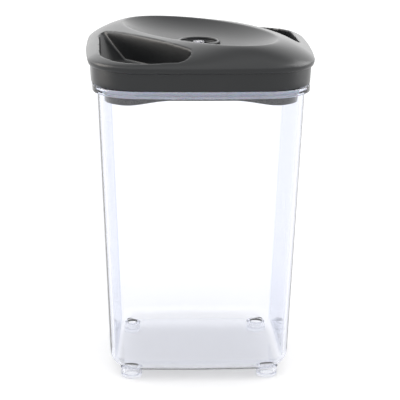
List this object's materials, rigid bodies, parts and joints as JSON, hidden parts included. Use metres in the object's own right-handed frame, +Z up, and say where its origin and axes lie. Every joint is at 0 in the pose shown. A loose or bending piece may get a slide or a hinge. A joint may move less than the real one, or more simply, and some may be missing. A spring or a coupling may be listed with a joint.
{
  "type": "lidded food storage canister",
  "caption": "Square clear storage canister on moulded feet, with a lift-off domed lid that has finger wells, an oval bowl and a sprung vent valve.",
  "frame": {"origin": "on the ground plane in the middle of the four feet", "axes": "+Z up through the middle of the lid valve, front face towards -Y"},
  "size_m": [0.1224, 0.1224, 0.1851],
  "materials": {
    "clear_plastic": "clear moulded plastic, polished, faint violet edges",
    "dark_plastic": "dark grey moulded plastic, satin",
    "silicone": "translucent white silicone, satin",
    "valve_rubber": "beige silicone, matte",
    "stem_plastic": "clear tinted plastic, polished",
    "spring_steel": "bare spring wire"
  },
  "bodies": {
    "canister": {"canister_body": "clear_plastic"},
    "lid": {"lid_cover": "dark_plastic", "lid_base": "dark_plastic", "lid_gasket": "silicone", "valve_collar": "dark_plastic", "port_o_ring": "silicone"},
    "valve": {"valve_stem": "stem_plastic", "valve_seal": "valve_rubber", "stem_clip": "spring_steel", "valve_spring": "spring_steel"}
  },
  "joints": [
    {"name": "lid_lift", "type": "slide", "parent": "canister", "child": "lid", "axis": [0, 0, 1], "range_m": [0, 0.06]},
    {"name": "valve_lift", "type": "slide", "parent": "lid", "child": "valve", "axis": [0, 0, 1], "range_m": [0, 0.002], "stiffness_N_per_m": 200, "springref_m": -0.001, "deforming": ["valve_spring"]}
  ]
}
